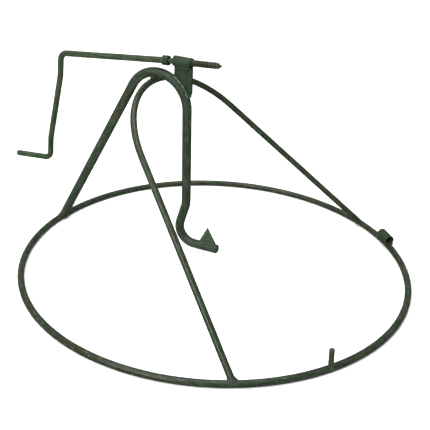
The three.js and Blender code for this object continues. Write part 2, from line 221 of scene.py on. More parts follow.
turning = next(joint for joint in frame["joints"] if joint["name"] == "screw_turn")
screw_axis = Vector(turning["axis"]).normalized()
SCREW_PLACE = Matrix.Translation(Vector(turning["pos_m"]) / MM - Vector((RING_X, 0, 0))) @ Matrix((
    (screw_axis.x, 0, -screw_axis.z, 0),
    (0, 1, 0, 0),
    (screw_axis.z, 0, screw_axis.x, 0),
    (0, 0, 0, 1),
))
SOCKET_PLACE = Matrix.Translation(SOCKET) @ Matrix.Rotation(SOCKET_ANGLE + math.pi / 2, 4, "Z")


# ---------------------------------------------------------------- meshes

def uneven(point, size, amount, seed):
    """A smooth random height between -amount and amount, the same on every run."""
    return amount * noise.noise(Vector(point) / size + Vector((seed, 2.7 * seed, -seed)))


def section_frames(points, closed):
    """Two unit vectors square to the path at each point, carried along it without twisting."""
    count = len(points)
    tangents = []
    for i in range(count):
        before = points[i - 1] if i or closed else points[i]
        after = points[(i + 1) % count] if i < count - 1 or closed else points[i]
        tangents.append((after - before).normalized())
    reference = ACROSS if abs(tangents[0].y) < 0.9 else UP
    side = (reference - tangents[0] * reference.dot(tangents[0])).normalized()
    frames = []
    for tangent in tangents:
        side = (side - tangent * side.dot(tangent)).normalized()
        frames.append((tangent, side, tangent.cross(side)))
    return frames


def tube(points, radius, sides=BAR_SIDES, closed=False, rounding=0.0, waviness=0.0, seed=1):
    """A bar along a path. radius is a number or a function of (share along, angle), and rounding is the
    radius of its ends' edges."""
    size = radius if callable(radius) else lambda share, angle: radius
    frames = section_frames(points, closed)
    rings = []
    last = len(points) - 1
    for i, (point, (tangent, side, other)) in enumerate(zip(points, frames)):
        rings.append((point, tangent, side, other, i / last, 0.0))
    if rounding and not closed:
        rings = end_rings(rings[0], rounding, -1)[::-1] + rings[1:-1] + end_rings(rings[-1], rounding, 1)
    vertices = []
    for point, tangent, side, other, share, inset in rings:
        for k in range(sides):
            angle = 2 * math.pi * k / sides
            outwards = side * math.cos(angle) + other * math.sin(angle)
            reach = size(share, angle) - inset
            reach -= waviness / 2 + uneven(point + outwards * reach, WAVE_LENGTH, waviness, seed)
            vertices.append(point + outwards * reach)
    faces = []
    total = len(rings)
    for i in range(total if closed else total - 1):
        for k in range(sides):
            a, b = i * sides + k, i * sides + (k + 1) % sides
            c, d = ((i + 1) % total) * sides + (k + 1) % sides, ((i + 1) % total) * sides + k
            faces.append((a, b, c, d))
    if not closed:
        faces.append(tuple(range(sides))[::-1])
        faces.append(tuple(range((total - 1) * sides, total * sides)))
    return vertices, faces


def end_rings(ring, rounding, way):
    """The rings that round off a bar's end, from where the rounding starts to the end face."""
    point, tangent, side, other, share, _ = ring
    steps = 5
    rings = []
    for i in range(steps + 1):
        angle = math.pi / 2 * i / steps
        back = tangent * (way * rounding * (math.sin(angle) - 1))
        rings.append((point + back, tangent, side, other, share, rounding * (1 - math.cos(angle))))
    return rings


def lathe(profile, sides=64, shape=None):
    """A body turned about X from (x, radius) points. shape(x, radius, angle) may change the radius."""
    vertices = []
    for x, radius in profile:
        for k in range(sides):
            angle = 2 * math.pi * k / sides
            reach = shape(x, radius, angle) if shape else radius
            vertices.append(Vector((x, reach * math.cos(angle), reach * math.sin(angle))))
    rows = len(profile)
    faces = []
    for i in range(rows - 1):
        for k in range(sides):
            a, b = i * sides + k, i * sides + (k + 1) % sides
            faces.append((a, a + sides, b + sides, b))
    faces.append(tuple(range(sides)))
    faces.append(tuple(range((rows - 1) * sides, rows * sides))[::-1])
    return vertices, faces


def pipe(length, outer, bore, rim=0.35, sides=64):
    """A plain tube about X with rounded rims."""
    section = []
    rim_steps = 4
    arc = [math.pi / 2 * i / rim_steps for i in range(rim_steps + 1)]
    for x_way, radial_way in ((-1, 1), (1, 1), (1, -1), (-1, -1)):
        wall = outer / 2 if radial_way > 0 else bore / 2
        quarter = [
            (x_way * (length / 2 - rim + rim * math.cos(a)), wall + radial_way * rim * (math.sin(a) - 1))
            for a in arc
        ]
        section += quarter if x_way * radial_way < 0 else quarter[::-1]
    vertices = []
    for x, radius in section:
        for k in range(sides):
            angle = 2 * math.pi * k / sides
            vertices.append(Vector((x, radius * math.cos(angle), radius * math.sin(angle))))
    rows = len(section)
    faces = []
    for i in range(rows):
        for k in range(sides):
            a, b = i * sides + k, i * sides + (k + 1) % sides
            c, d = (i + 1) % rows * sides + (k + 1) % sides, (i + 1) % rows * sides + k
            faces.append((a, d, c, b))
    return vertices, faces


def slab(outline, thickness):
    """A flat plate in the XZ plane, from the (x, z) corners of its outline."""
    count = len(outline)
    front = [Vector((x, -thickness / 2, z)) for x, z in outline]
    back = [Vector((x, thickness / 2, z)) for x, z in outline]
    faces = [tuple(range(count)), tuple(range(2 * count - 1, count - 1, -1))]
    faces += [(i, i + count, (i + 1) % count + count, (i + 1) % count) for i in range(count)]
    return front + back, faces


def make(name, shape, place=None):
    """A Blender object from vertices and faces drawn in millimetres about the ring's centre."""
    vertices, faces = shape
    place = place or Matrix.Identity(4)
    placed = [place @ Vector(v) for v in vertices]
    metres = [Vector((v.x + RING_X, v.y, max(v.z, FLOOR_CLEAR))) * MM for v in placed]
    mesh = bpy.data.meshes.new(name)
    mesh.from_pydata([tuple(v) for v in metres], [], faces)
    mesh.validate()
    thing = bpy.data.objects.new(name, mesh)
    bpy.context.scene.collection.objects.link(thing)
    return thing


def apply_modifiers(thing):
    bpy.context.view_layer.update()
    shown = thing.evaluated_get(bpy.context.evaluated_depsgraph_get())
    mesh = bpy.data.meshes.new_from_object(shown)
    thing.modifiers.clear()
    old = thing.data
    thing.data = mesh
    bpy.data.meshes.remove(old)
    mesh.name = thing.name


def soften_edges(thing, width):
    bevel = thing.modifiers.new("edges", "BEVEL")
    bevel.width = width * MM
    bevel.segments = 3
    bevel.limit_method = "ANGLE"
    bevel.angle_limit = math.radians(35)
    apply_modifiers(thing)


def outwards_faces(thing):
    """Turns every face's front to the outside."""
    body = bmesh.new()
    body.from_mesh(thing.data)
    bmesh.ops.recalc_face_normals(body, faces=body.faces)
    body.to_mesh(thing.data)
    body.free()


def smooth(thing, angle=math.radians(32)):
    outwards_faces(thing)
    thing.data.shade_smooth()
    thing.data.set_sharp_from_angle(angle=angle)


def lay_grain(thing, path, place=None, closed=False):
    """Notes where each vertex lies on its bar, along and across, so that streaks can run lengthwise."""
    drawn_path = [place @ p for p in path] if place else path
    frames = section_frames(drawn_path, closed)
    line = np.array([tuple(p) for p in drawn_path])
    travel = np.concatenate([[0], np.cumsum(np.linalg.norm(np.diff(line, axis=0), axis=1))])
    grain = thing.data.attributes.new("grain", "FLOAT_VECTOR", "POINT")
    for vertex, lie in zip(thing.data.vertices, grain.data):
        point = vertex.co / MM - Vector((RING_X, 0, 0))
        nearest = int(np.linalg.norm(line - np.array(point), axis=1).argmin())
        offset = point - drawn_path[nearest]
        tangent, side, other = frames[nearest]
        lie.vector = (travel[nearest] + offset.dot(tangent), offset.dot(side), offset.dot(other))


def joined(*shapes):
    """Several shapes as one list of vertices and one of faces."""
    vertices, faces = [], []
    for more_vertices, more_faces in shapes:
        start = len(vertices)
        vertices += list(more_vertices)
        faces += [tuple(start + i for i in face) for face in more_faces]
    return vertices, faces


# ---------------------------------------------------------------- welds

RIPPLE_PITCH = 2.3
RIPPLE_BOW = 0.05   # how far the crescents lag behind, for the square of their distance from the seam
RIPPLE_SINK = 0.75  # how far their valleys are pressed in, as a share of their height
RIPPLE_FADE = 0.35  # the share of the reach over which they fade out
WELD_VOXEL = 0.42
CORE_SINK = 0.3     # how far the cores inside a fillet stay under the bars' skins
SEAM_STEP = 0.25    # of the search for a fillet's seam


def bead(seam, radius, seed):
    """The run of weld metal along a seam, a little thicker here and thinner there."""
    end_share = 0.55
    unevenness = 0.12

    def size(share, angle):
        taper = min(1.0, end_share + 6 * min(share, 1 - share))
        return radius * taper * (1 + unevenness * noise.noise(Vector((share * len(seam) / 5, seed, 0))))

    return tube(seam, size, sides=20)


def ripple(thing, seam, reach, height, seed):
    """Presses the crescents of a weld run into the mesh near its seam."""
    line = np.array([tuple(p) for p in seam])
    travel = np.concatenate([[0], np.cumsum(np.linalg.norm(np.diff(line, axis=0), axis=1))])
    mesh = thing.data
    count = len(mesh.vertices)
    place = np.empty(count * 3)
    mesh.vertices.foreach_get("co", place)
    place = place.reshape(-1, 3)
    drawn = place / MM - np.array([RING_X, 0, 0])
    normals = np.empty(count * 3)
    mesh.vertices.foreach_get("normal", normals)
    normals = normals.reshape(-1, 3)
    apart = np.linalg.norm(drawn[:, None, :] - line[None, :, :], axis=2)
    nearest = apart.argmin(axis=1)
    distance = apart.min(axis=1)
    phase = travel[nearest] / RIPPLE_PITCH + RIPPLE_BOW * distance ** 2 / RIPPLE_PITCH
    crest = np.abs(np.sin(math.pi * phase)) ** 0.7
    fade = np.clip((reach - distance) / (RIPPLE_FADE * reach), 0, 1)
    rough = np.array([uneven(p, 1.6, 0.5, seed) + uneven(p, 4.5, 0.6, seed) for p in drawn])
    lift = (height * (crest - RIPPLE_SINK) + height * 0.8 * rough) * fade
    place += normals * (lift * MM)[:, None]
    place[:, 2] = np.maximum(place[:, 2], FLOOR_CLEAR * MM)
    mesh.vertices.foreach_set("co", place.ravel())
    mesh.update()


def weld(name, seam, shape, reach, height, relax, seed, place=None):
    """Weld metal: its shape is melted into one skin, relaxed, and rippled along the seam."""
    thing = make(name, shape, place)
    outwards_faces(thing)
    melt = thing.modifiers.new("melt", "REMESH")
    melt.mode = "VOXEL"
    melt.voxel_size = WELD_VOXEL * MM
    calm = thing.modifiers.new("calm", "SMOOTH")
    calm.factor = 0.6
    calm.iterations = relax
    apply_modifiers(thing)
    world_seam = [place @ p for p in seam] if place else seam
    ripple(thing, world_seam, reach, height, seed)
    thing.data.shade_smooth()
    return thing


def seam_round_foot(foot, direction, bar_radius, steps=60):
    """Where a slanting bar's skin meets the ring bar, all the way round the bar."""
    direction = direction.normalized()
    side = direction.cross(UP).normalized()
    other = direction.cross(side)
    seam = []
    for i in range(steps):
        angle = 2 * math.pi * i / steps
        start = foot + (side * math.cos(angle) + other * math.sin(angle)) * bar_radius
        heights = [j * SEAM_STEP for j in range(60, -8, -1)]
        gaps = [from_ring(start + direction * h) for h in heights]
        touching = [h for h, gap in zip(heights, gaps) if gap <= LIFT]
        best = touching[0] if touching else heights[gaps.index(min(gaps))]
        seam.append(start + direction * best)
    return seam


def from_ring(point):
    """A point's distance from the ring bar's centreline."""
    return math.hypot(math.hypot(point.x, point.y) - RING_RADIUS, point.z - LIFT)


def foot_weld(name, foot_angle, direction, bar, throat, webs, seed):
    """The fillet where a bar stands on the ring. throat is the radius of the bead round the bar, and webs
    gives, for each way round the ring, how far the metal spreads along the ring and up the bar."""
    foot = on_ring(foot_angle)
    direction = direction.normalized()
    seam = seam_round_foot(foot, direction, bar / 2)
    cores = [bead(seam + seam[:1], throat, seed)]
    web_radius = min(bar, RING_BAR) / 2 - CORE_SINK
    root_radius = LIFT - 0.5
    for way, (along, up) in zip((-1, 1), webs):
        low = on_ring(foot_angle + way * along / RING_RADIUS, z=LIFT + CORE_SINK)
        high = foot + direction * (LIFT + up)
        cores.append(tube(straight(low, high, 8), web_radius, sides=24))
        cores.append(tube(straight(low, foot, 4), root_radius, sides=24))
    return weld(name, seam, joined(*cores), reach=throat + 1.2, height=0.2, relax=12, seed=seed)


def straight(start, end, steps=24):
    return [start.lerp(end, i / steps) for i in range(steps + 1)]


# ---------------------------------------------------------------- materials

def colour(red, green, blue):
    """Linear colour from everyday 0-255 values."""
    def linear(value):
        share = value / 255
        return share / 12.92 if share <= 0.04045 else ((share + 0.055) / 1.055) ** 2.4
    return linear(red), linear(green), linear(blue), 1.0


class Nodes:
    """Short calls for building a material's nodes."""

    def __init__(self, name):
        self.material = bpy.data.materials.new(name)
        self.material.use_nodes = True
        self.tree = self.material.node_tree
        self.shader = self.tree.nodes["Principled BSDF"]
        self.place = self.add("ShaderNodeTexCoord").outputs["Object"]

    def add(self, kind, **settings):
        node = self.tree.nodes.new(kind)
        for key, value in settings.items():
            setattr(node, key, value)
        return node

    def link(self, output, target):
        self.tree.links.new(output, target)

    def attribute(self, name):
        return self.add("ShaderNodeAttribute", attribute_name=name)

    def noise(self, scale, detail=3.0, roughness=0.55, stretch=None, source=None):
        node = self.add("ShaderNodeTexNoise")
        node.inputs["Scale"].default_value = scale
        node.inputs["Detail"].default_value = detail
        node.inputs["Roughness"].default_value = roughness
        source = source or self.place
        if stretch:
            mapping = self.add("ShaderNodeMapping")
            mapping.inputs["Scale"].default_value = stretch
            self.link(source, mapping.inputs["Vector"])
            source = mapping.outputs["Vector"]
        self.link(source, node.inputs["Vector"])
        return node.outputs["Fac"]

    def ramp(self, source, stops):
        node = self.add("ShaderNodeValToRGB")
        elements = node.color_ramp.elements
        while len(elements) < len(stops):
            elements.new(0.5)
        for element, (position, value) in zip(elements, stops):
            element.position = position
            element.color = value
        self.link(source, node.inputs["Fac"])
        return node.outputs["Color"]

    def mix(self, share, first, second, blend="MIX"):
        node = self.add("ShaderNodeMix", data_type="RGBA", blend_type=blend)
        for value, socket in ((share, 0), (first, 6), (second, 7)):
            if isinstance(value, (int, float, tuple)):
                node.inputs[socket].default_value = value
            else:
                self.link(value, node.inputs[socket])
        return node.outputs[2]

    def spread(self, source, low, high, from_low=0.3, from_high=0.7):
        node = self.add("ShaderNodeMapRange")
        node.inputs["From Min"].default_value = from_low
        node.inputs["From Max"].default_value = from_high
        node.inputs["To Min"].default_value = low
        node.inputs["To Max"].default_value = high
        self.link(source, node.inputs["Value"])
        return node.outputs["Result"]

    def bump(self, source, strength, distance, below=None):
        node = self.add("ShaderNodeBump")
        node.inputs["Strength"].default_value = strength
        node.inputs["Distance"].default_value = distance
        self.link(source, node.inputs["Height"])
        if below:
            self.link(below, node.inputs["Normal"])
        return node.outputs["Normal"]


def grey(value):
    return value, value, value, 1.0


def enamel(name, cool, middle, warm, gloss=(0.36, 0.56), lumps=0.35, wear_and_glint_colour=colour(110, 128, 108),
           shine=0.16, wear_and_glint_strength=0.7, streaked=False):
    """Brushed-on green enamel: patchy tone, dull specks, paler rubbed spots that are partly worn paint and
    partly painted glints, and fine orange peel. On a bar the brush marks run lengthwise."""
    nodes = Nodes(name)
    patches = nodes.noise(42, detail=5, roughness=0.62)
    tone = nodes.ramp(patches, [(0.34, cool), (0.5, middle), (0.66, warm)])
    shades = nodes.ramp(nodes.noise(150, detail=4, roughness=0.6), [(0.3, grey(0.5)), (0.68, grey(1.0))])
    tone = nodes.mix(0.7, tone, shades, "MULTIPLY")
    specks = nodes.ramp(nodes.noise(800, detail=2), [(0.34, grey(0.5)), (0.62, grey(1.0))])
    tone = nodes.mix(0.4, tone, specks, "MULTIPLY")
    # The paler rubbed spots are partly worn paint and partly painted glints, where highlights are painted
    # into the colour.
    rubbing_and_glint_noise = nodes.noise(330, detail=4, roughness=0.6)
    if streaked:
        grain = nodes.attribute("grain").outputs["Vector"]
        strokes = nodes.noise(1, detail=3, roughness=0.6, stretch=(0.05, 0.5, 0.5), source=grain)
        tone = nodes.mix(0.8, tone, nodes.ramp(strokes, [(0.36, grey(0.3)), (0.62, grey(1.0))]), "MULTIPLY")
        rubbing_and_glint_noise = nodes.noise(1, detail=4, roughness=0.65, stretch=(0.16, 0.8, 0.8), source=grain)
    rubbed_and_glint_mask = nodes.ramp(rubbing_and_glint_noise, [(0.6, grey(0)), (0.72, grey(wear_and_glint_strength))])
    tone = nodes.mix(rubbed_and_glint_mask, tone, wear_and_glint_colour)
    nodes.link(tone, nodes.shader.inputs["Base Color"])
    nodes.link(nodes.spread(nodes.noise(120, detail=3), *gloss), nodes.shader.inputs["Roughness"])
    peel = nodes.bump(nodes.noise(1300, detail=2), 0.22, 0.00012)
    sag = nodes.bump(nodes.noise(190, detail=2), lumps, 0.0005, below=peel)
    nodes.link(sag, nodes.shader.inputs["Normal"])
    nodes.shader.inputs["Metallic"].default_value = 0.0
    nodes.shader.inputs["IOR"].default_value = 1.5
    nodes.shader.inputs["Specular IOR Level"].default_value = shine
    return nodes.material


def screw_steel():
    """Greenish dark steel of patchy tone, with painted shade that turns the thread's valleys and flanks
    nearly black while its crests keep the paler tone.
    """
    nodes = Nodes("screw_steel")
    film = nodes.ramp(nodes.noise(260, detail=4), [
        (0.34, colour(66, 76, 52)), (0.52, colour(88, 98, 70)), (0.7, colour(112, 122, 92))])
    # Painted shade: the lower a point lies on the thread's flank, the darker its colour, down to black in the
    # valleys.
    depth = nodes.attribute("depth").outputs["Fac"]
    shade = nodes.ramp(depth, [(0.15, grey(0.0)), (0.7, grey(0.12)), (0.95, grey(1.0))])
    nodes.link(nodes.mix(1.0, film, shade, "MULTIPLY"), nodes.shader.inputs["Base Color"])
    nodes.link(nodes.spread(nodes.noise(500), 0.34, 0.6), nodes.shader.inputs["Roughness"])
    nodes.link(nodes.bump(nodes.noise(1500, detail=3), 0.3, 0.0001), nodes.shader.inputs["Normal"])
    nodes.shader.inputs["Metallic"].default_value = 0.3
    return nodes.material


def pale_floor():
    nodes = Nodes("pale_floor")
    tone = nodes.ramp(nodes.noise(3, detail=2), [(0.3, grey(0.93)), (0.7, grey(0.96))])
    nodes.link(tone, nodes.shader.inputs["Base Color"])
    nodes.shader.inputs["Roughness"].default_value = 0.9
    nodes.shader.inputs["Specular IOR Level"].default_value = 0.1
    return nodes.material


BAR_ENAMEL = enamel(
    "bar_enamel", colour(45, 61, 48), colour(50, 61, 44), colour(57, 60, 40),
    gloss=(0.2, 0.34), shine=0.15, streaked=True)
HOOK_ENAMEL = enamel(
    "hook_enamel", colour(48, 69, 56), colour(53, 68, 50), colour(60, 66, 44),
    gloss=(0.36, 0.52), shine=0.14, wear_and_glint_strength=0.35, streaked=True)
FITTING_ENAMEL = enamel(
    "fitting_enamel", colour(38, 55, 42), colour(41, 55, 41), colour(47, 55, 38),
    shine=0.1, wear_and_glint_strength=0.15)
PALE_ENAMEL = enamel(
    "pale_enamel", colour(56, 76, 59), colour(62, 75, 55), colour(68, 74, 52),
    shine=0.14, wear_and_glint_strength=0.15)
PEG_ENAMEL = enamel(
    "peg_enamel", colour(44, 62, 51), colour(47, 61, 47), colour(50, 60, 44),
    shine=0.14, wear_and_glint_strength=0.2)
# Its rubbed spots are very pale: mostly painted glints along the weld ripples and on the nut, with some worn
# paint.
WELD_ENAMEL = enamel(
    "weld_enamel", colour(44, 68, 52), colour(48, 67, 49), colour(54, 65, 43),
    gloss=(0.16, 0.3), lumps=0.2, wear_and_glint_colour=colour(146, 172, 150), shine=0.4)
CRANK_ENAMEL = enamel(
    "crank_enamel", colour(50, 74, 53), colour(56, 73, 50), colour(62, 71, 48),
    gloss=(0.22, 0.36), shine=0.24, wear_and_glint_strength=0.5, streaked=True)
SCREW_STEEL = screw_steel()

# Each look's material, and the record's material slot that it belongs to.
LOOKS = {
    "bar_enamel": (BAR_ENAMEL, "bar_enamel"),
    "hook_enamel": (HOOK_ENAMEL, "bar_enamel"),
    "fitting_enamel": (FITTING_ENAMEL, "fitting_enamel"),
    "peg_enamel": (PEG_ENAMEL, "bar_enamel"),
    "pale_enamel": (PALE_ENAMEL, "fitting_enamel"),
    "weld_enamel": (WELD_ENAMEL, "weld_enamel"),
    "crank_enamel": (CRANK_ENAMEL, "crank_enamel"),
    "screw_steel": (SCREW_STEEL, "screw_steel"),
}


def finish_piece(thing, node, body, look):
    """Gives a piece its look and its body, and hides the CAD piece that it stands for."""
    material, slot = LOOKS[look]
    thing.data.materials.clear()
    thing.data.materials.append(material)
    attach(thing, body)
    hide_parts(node)
    return thing


# ---------------------------------------------------------------- bars

def ring_piece():
    steps = 360
    path = [on_ring(2 * math.pi * i / steps) for i in range(steps)]
    thing = make("ring", tube(path, RING_BAR / 2, sides=32, closed=True, waviness=0.09, seed=3))
    smooth(thing)
    lay_grain(thing, path, closed=True)
    return finish_piece(thing, "base_ring", "frame", "bar_enamel")


def bar_piece(name, node, path, diameter, rounding, look, seed):
    thing = make(name, tube(path, diameter / 2, rounding=rounding, waviness=0.1, seed=seed))
    smooth(thing)
    lay_grain(thing, path)
    return finish_piece(thing, node, "frame", look)


def peg_direction():
    outwards = Vector((math.cos(PEG_ANGLE), math.sin(PEG_ANGLE), 0))
    return Matrix.Rotation(PEG_LEAN, 3, outwards) @ UP


def peg_piece():
    foot_height = 0.5
    steps = 8
    base = on_ring(PEG_ANGLE, z=foot_height)
    upwards = peg_direction()
    points = [base + upwards * (PEG_HEIGHT - foot_height) * i / steps for i in range(steps + 1)]
    thing = make("upright_peg", tube(points, PEG_BAR / 2, rounding=0.9, waviness=0.1, seed=8))
    smooth(thing)
    lay_grain(thing, points)
    return finish_piece(thing, "peg", "frame", "peg_enamel")


# ---------------------------------------------------------------- fittings

def sleeve_piece():
    thing = make("sleeve", pipe(TUBE_LENGTH, TUBE_OUTER, TUBE_BORE), Matrix.Translation(SLEEVE))
    smooth(thing)
    return finish_piece(thing, "screw_sleeve", "frame", "fitting_enamel")


def socket_piece():
    thing = make("socket", pipe(TUBE_LENGTH, TUBE_OUTER, TUBE_BORE), SOCKET_PLACE)
    smooth(thing)
    return finish_piece(thing, "socket_tube", "frame", "fitting_enamel")


def gusset_piece():
    top_under_bore = 0.6
    top = SLEEVE.z - TUBE_BORE / 2 - top_under_bore
    left = PLATE["left"]
    height_on_crown = CROWN.z + math.sqrt(CROWN_RADIUS ** 2 - (left - CROWN.x) ** 2)
    outline = [
        (left, top),
        (left, height_on_crown),
        (PLATE["right"] - MAIN_BAR / 2, PLATE["toe"]),
        (PLATE["right"] - PLATE["thickness"] / 2, PLATE["toe"]),
        (PLATE["right"], PLATE["low"]),
        (PLATE["right"], top),
    ]
    thing = make("gusset", slab(outline, PLATE["thickness"]))
    soften_edges(thing, 0.45)
    smooth(thing)
    return finish_piece(thing, "gusset_plate", "frame", "fitting_enamel")


def hook_top(x):
    """The height of the hook bar's top at x."""
    return HOOK_END[1] + HOOK_DIRECTION.z / HOOK_DIRECTION.x * (x - HOOK_END[0]) + MAIN_BAR / 2


def spike_piece():
    back, front = SPIKE["back"], SPIKE["front"]
    outline = [
        SPIKE["apex"],
        (back, hook_top(back) + SPIKE["shoulder"]),
        (back, hook_top(back) - SPIKE["rooted"]),
        (front, hook_top(front) - SPIKE["rooted"]),
        (front, hook_top(front) + SPIKE["shoulder"]),
    ]
    thing = make("spike", slab(outline, SPIKE["thickness"]))
    soften_edges(thing, 0.35)
    smooth(thing)
    return finish_piece(thing, "spike_plate", "frame", "pale_enamel")


# ---------------------------------------------------------------- the welds' places

# How far the middle of each bead lies outside its plate's face.
BEAD_OFFSET = {"gusset": 1.1, "sleeve": 0.9, "spike": 0.4}
# Even steps from one end of a short seam, through its middle at 0, to the other.
BOTH_WAYS = [i / 12 - 1 for i in range(25)]


def on_crown(radius, angle, y):
    """A point at a radius and an angle about the centre of the crown's bend."""
    return CROWN + Vector((radius * math.cos(angle), y, radius * math.sin(angle)))


def bead_piece(name, node, seam, look, radius, reach, height, relax, seed):
    """A bead on the frame, with its radius, how far from the seam its ripples reach, their height, and the
    number of times that its skin is smoothed first."""
    thing = weld(name, seam, bead(seam, radius, seed), reach, height, relax, seed)
    return finish_piece(thing, node, "frame", look)


def gusset_weld(name, node, side, seed):
    radius = CROWN_RADIUS + MAIN_BAR / 2 + 0.2
    start = math.acos((PLATE["left"] - CROWN.x) / radius) + math.radians(1)
    end = math.asin((PLATE["toe"] - CROWN.z) / radius)
    y = side * (PLATE["thickness"] / 2 + BEAD_OFFSET["gusset"])
    steps = 40
    seam = [on_crown(radius, start + (end - start) * i / steps, y) for i in range(steps + 1)]
    return bead_piece(name, node, seam, "weld_enamel",
                      radius=2.4, reach=4.6, height=0.5, relax=2, seed=seed)


def sleeve_weld(name, node, side, seed):
    y = side * (PLATE["thickness"] / 2 + BEAD_OFFSET["sleeve"])
    z = SLEEVE.z - TUBE_OUTER / 2 + 0.1
    half = TUBE_LENGTH / 2 - 2.2
    seam = straight(Vector((SLEEVE.x - half, y, z)), Vector((SLEEVE.x + half, y, z)))
    return bead_piece(name, node, seam, "fitting_enamel",
                      radius=1.7, reach=3.4, height=0.16, relax=5, seed=seed)


def spike_weld(name, node, side, seed):
    y = side * (SPIKE["thickness"] / 2 + BEAD_OFFSET["spike"])
    shorter = 0.6
    sunk = 0.5
    back, front = SPIKE["back"] + shorter, SPIKE["front"] - shorter
    seam = straight(Vector((back, y, hook_top(back) - sunk)), Vector((front, y, hook_top(front) - sunk)))
    return bead_piece(name, node, seam, "pale_enamel",
                      radius=1.6, reach=3, height=0.12, relax=5, seed=seed)


def socket_weld(name, node, side, seed):
    radius = RING_RADIUS + side * RING_BAR / 2 * 0.9
    half = (TUBE_LENGTH / 2 - 2) / RING_RADIUS
    seam = [on_ring(SOCKET_ANGLE + half * way, RING_BAR - 0.4, radius) for way in BOTH_WAYS]
    return bead_piece(name, node, seam, "fitting_enamel",
                      radius=2.3, reach=4, height=0.3, relax=3, seed=seed)


def arch_top_weld():
    """The lump that joins the arch's top to the underside of the crown."""
    apex = arch_path[len(arch_path) // 2]
    outwards = (apex - CROWN).normalized()
    middle = CROWN + outwards * (CROWN_RADIUS - MAIN_BAR / 2 - 0.6)
    half = 6
    seam = [middle + ACROSS * (half * way) for way in BOTH_WAYS]
    return bead_piece("arch_top_lump", "weld_arch_top", seam, "pale_enamel",
                      radius=3.2, reach=5, height=0.25, relax=8, seed=41)


def foot_fillet(name, node, foot_angle, direction, bar, throat, webs, look, seed):
    thing = foot_weld(name, foot_angle, direction, bar, throat, webs, seed=seed)
    return finish_piece(thing, node, "frame", look)


# ---------------------------------------------------------------- screw and crank

def hexagon(length, middle, bore=0.0):
    """A hexagon head about X with both faces chamfered."""
    flats = HEAD["flats"] / 2
    corner = flats / math.cos(math.pi / 6)
    slope = math.tan(HEAD["chamfer"])
    face_inset = 0.25

    def shape(x, radius, angle):
        if radius < flats * 0.75:
            return radius
        turned = (angle - HEAD["turn"]) % (math.pi / 3) - math.pi / 6
        hexed = flats / math.cos(turned)
        depth = length / 2 - abs(x - middle)
        return min(hexed, flats - face_inset + depth * slope) * radius / corner

    half = length / 2
    chamfer = (corner - flats + 0.3) / slope
    rows = [-half, -half + 0.33 * chamfer, -half + 0.66 * chamfer, -half + chamfer, -half + chamfer + 0.2]
    xs = [middle + x for x in rows + [-x for x in rows[::-1]]]
    inner = bore / 2 if bore else 0.4
    profile = [(xs[0], inner)] + [(x, corner) for x in xs] + [(xs[-1], inner)]
    return lathe(profile, sides=144, shape=shape)


def thread_shape():
    """The threaded stretch: one crest winds along it, rises where it starts and fades into the point."""
    start = THREAD["tip"] - THREAD["length"]
    root, crest = THREAD["root"] / 2, THREAD["outer"] / 2

    def shape(x, radius, angle):
        turn = (x / THREAD["pitch"] - angle / (2 * math.pi)) % 1
        ridge = min(1.0, max(0.0, 1 + THREAD["flat"] - abs(turn - 0.5) / THREAD["flank"]))
        to_tip = min(1.0, (THREAD["tip"] - x) / THREAD["point"])
        cone = max(0.05, to_tip) ** THREAD["bluntness"]
        run_in = min(1.0, max(0.0, (x - start) / THREAD["run_in"]))
        reach = root * cone + (crest - root) * ridge * run_in * min(1.0, to_tip * 2.2)
        return reach if radius > 0.5 else 0.05

    rows_per_turn = 16
    rows = round(THREAD["length"] / THREAD["pitch"] * rows_per_turn)
    profile = [(start + THREAD["length"] * i / rows, 1.0) for i in range(rows)]
    profile.append((THREAD["tip"], 0.1))
    return lathe(profile, sides=56, shape=shape)


def screw_piece():
    """The bare thread. Each vertex notes how far up the thread's flank it lies, which the material uses to
    paint shade into the valleys.
    """
    shape = thread_shape()
    root, crest = THREAD["root"] / 2, THREAD["outer"] / 2
    thing = make("trunk_screw", shape, SCREW_PLACE)
    depth = thing.data.attributes.new("depth", "FLOAT", "POINT")
    for point, height in zip(shape[0], depth.data):
        cone = max(0.3, min(1.0, (THREAD["tip"] - point.x) / THREAD["point"]))
        height.value = (math.hypot(point.y, point.z) - root * cone) / (crest - root) + 0.6 * (1 - cone)
    smooth(thing, math.radians(28))
    return finish_piece(thing, "lag_screw", "crank", "screw_steel")


def screw_head_piece():
    """The painted end of the screw: its hexagon head and the plain shank that enters the sleeve."""
    start = HEAD_FACE - 1
    end = THREAD["tip"] - THREAD["length"] + 0.6
    taper = 1.4
    core = 0.2
    shank = lathe([
        (start, core),
        (start, THREAD["shank"] / 2),
        (end - taper, THREAD["shank"] / 2),
        (end, THREAD["root"] / 2),
        (end, core),
    ])
    head = hexagon(HEAD["length"], HEAD_FACE - HEAD["length"] / 2)
    thing = make("screw_head", joined(head, shank), SCREW_PLACE)
    smooth(thing, math.radians(28))
    return finish_piece(thing, "lag_screw", "crank", "crank_enamel")


def washer_piece():
    middle = WASHER["face"] - WASHER["thickness"] / 2
    place = SCREW_PLACE @ Matrix.Translation((middle, 0, 0))
    thing = make("screw_washer", pipe(WASHER["thickness"], WASHER["outer"], WASHER["bore"], rim=0.3), place)
    smooth(thing)
    return finish_piece(thing, "washer", "washer", "fitting_enamel")


def nut_piece():
    thing = make("collar_nut", hexagon(NUT["length"], NUT_FACE - NUT["length"] / 2, NUT["bore"]), SCREW_PLACE)
    smooth(thing, math.radians(28))
    return finish_piece(thing, "crank_nut", "crank", "weld_enamel")


def crank_piece():
    shape = tube(crank_path, CRANK_BAR / 2, rounding=0.9, waviness=0.1, seed=15)
    thing = make("crank_handle", shape, SCREW_PLACE)
    smooth(thing)
    lay_grain(thing, crank_path, SCREW_PLACE)
    return finish_piece(thing, "crank_rod", "crank", "crank_enamel")


